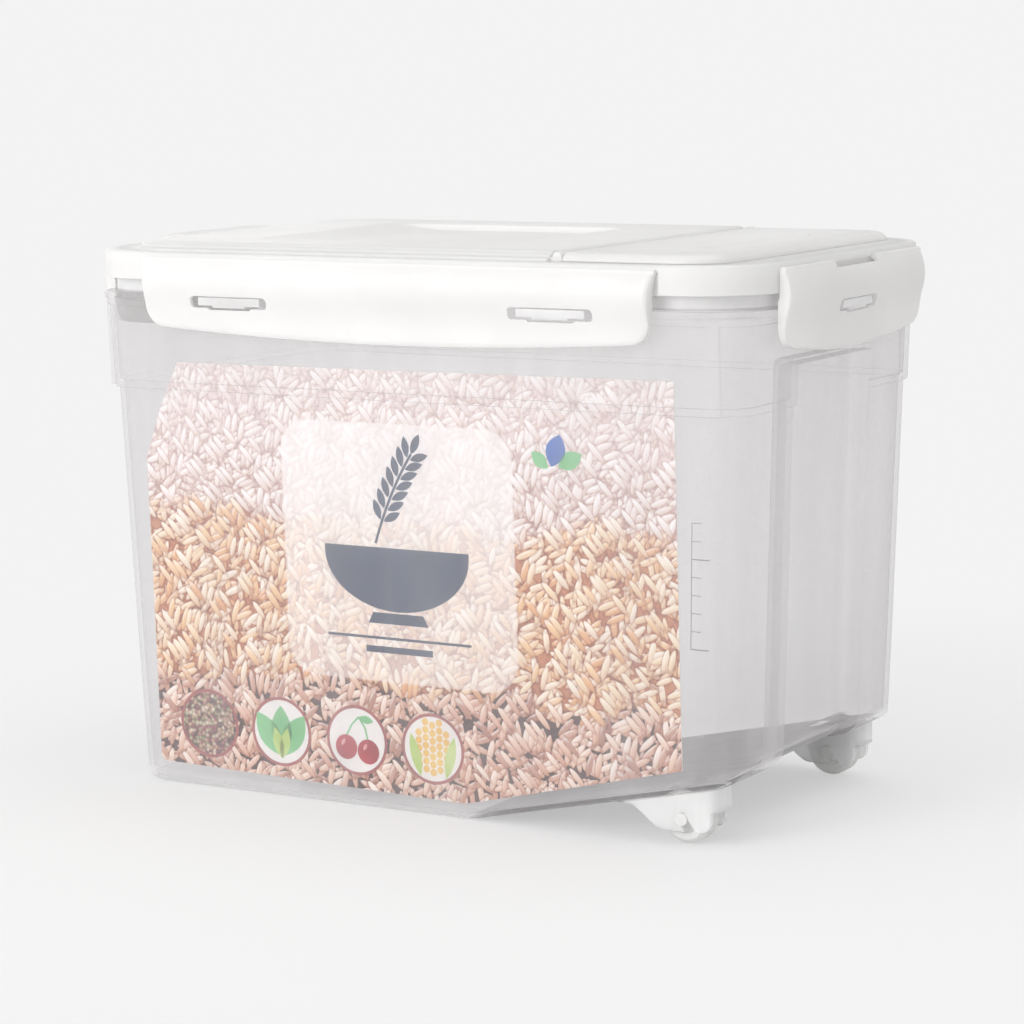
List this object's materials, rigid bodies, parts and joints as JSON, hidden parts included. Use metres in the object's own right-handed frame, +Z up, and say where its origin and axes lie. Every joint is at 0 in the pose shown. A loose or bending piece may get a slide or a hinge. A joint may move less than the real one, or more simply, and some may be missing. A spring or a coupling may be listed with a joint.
{
  "type": "rice bin with flip lid",
  "caption": "Clear tapered storage bin with a raised sloping underside on rollers, a white lid held by hinged side locks, and a folding hatch over the pouring end.",
  "frame": {"origin": "on the floor, under the middle of the bin's bounding box", "axes": "+X along the length towards the rollers and the flip lid, +Y to the rear (the printed sheet faces -Y), +Z up"},
  "size_m": [0.4052, 0.2392, 0.2906],
  "materials": {
    "clear_plastic": "milky translucent, softly glossy",
    "printed_sheet": "satin print of loose grain",
    "white_plastic": "satin",
    "seal": "matt silicone",
    "wheel_plastic": "satin",
    "cup_plastic": "translucent, softly glossy"
  },
  "bodies": {
    "bin": {"bin_body": "clear_plastic", "label_insert": "printed_sheet", "main_lid": "white_plastic", "main_gasket": "seal"},
    "flip": {"flip_lid": "white_plastic", "flip_gasket": "seal"},
    "lock_front": {"front_lock": "white_plastic"},
    "lock_rear": {"rear_lock": "white_plastic"},
    "lock_left": {"left_lock": "white_plastic"},
    "lock_right": {"right_lock": "white_plastic"},
    "wheel_near": {"near_wheel": "wheel_plastic"},
    "wheel_far": {"far_wheel": "wheel_plastic"},
    "cup": {"measuring_cup": "cup_plastic"}
  },
  "joints": [
    {"name": "flip_lid_hinge", "type": "hinge", "parent": "bin", "child": "flip", "pos_m": [0.0906, 0, 0.287], "axis": [0, -1, 0], "range_deg": [0, 105]},
    {"name": "front_lock_hinge", "type": "hinge", "parent": "bin", "child": "lock_front", "pos_m": [0, -0.1151, 0.2815], "axis": [-1, 0, 0], "range_deg": [0, 110]},
    {"name": "rear_lock_hinge", "type": "hinge", "parent": "bin", "child": "lock_rear", "pos_m": [0, 0.1151, 0.2815], "axis": [1, 0, 0], "range_deg": [0, 110]},
    {"name": "left_lock_hinge", "type": "hinge", "parent": "bin", "child": "lock_left", "pos_m": [-0.1981, 0, 0.2815], "axis": [0, 1, 0], "range_deg": [0, 110]},
    {"name": "right_lock_hinge", "type": "hinge", "parent": "bin", "child": "lock_right", "pos_m": [0.1981, 0, 0.2815], "axis": [0, -1, 0], "range_deg": [0, 110]},
    {"name": "near_wheel_spin", "type": "hinge", "parent": "bin", "child": "wheel_near", "pos_m": [0.1496, -0.0834, 0.0138], "axis": [0, 1, 0], "continuous": true},
    {"name": "far_wheel_spin", "type": "hinge", "parent": "bin", "child": "wheel_far", "pos_m": [0.1496, 0.0834, 0.0138], "axis": [0, 1, 0], "continuous": true},
    {"name": "cup_lift", "type": "slide", "parent": "bin", "child": "cup", "axis": [0, 0, 1], "range_m": [0, 0.15]}
  ]
}
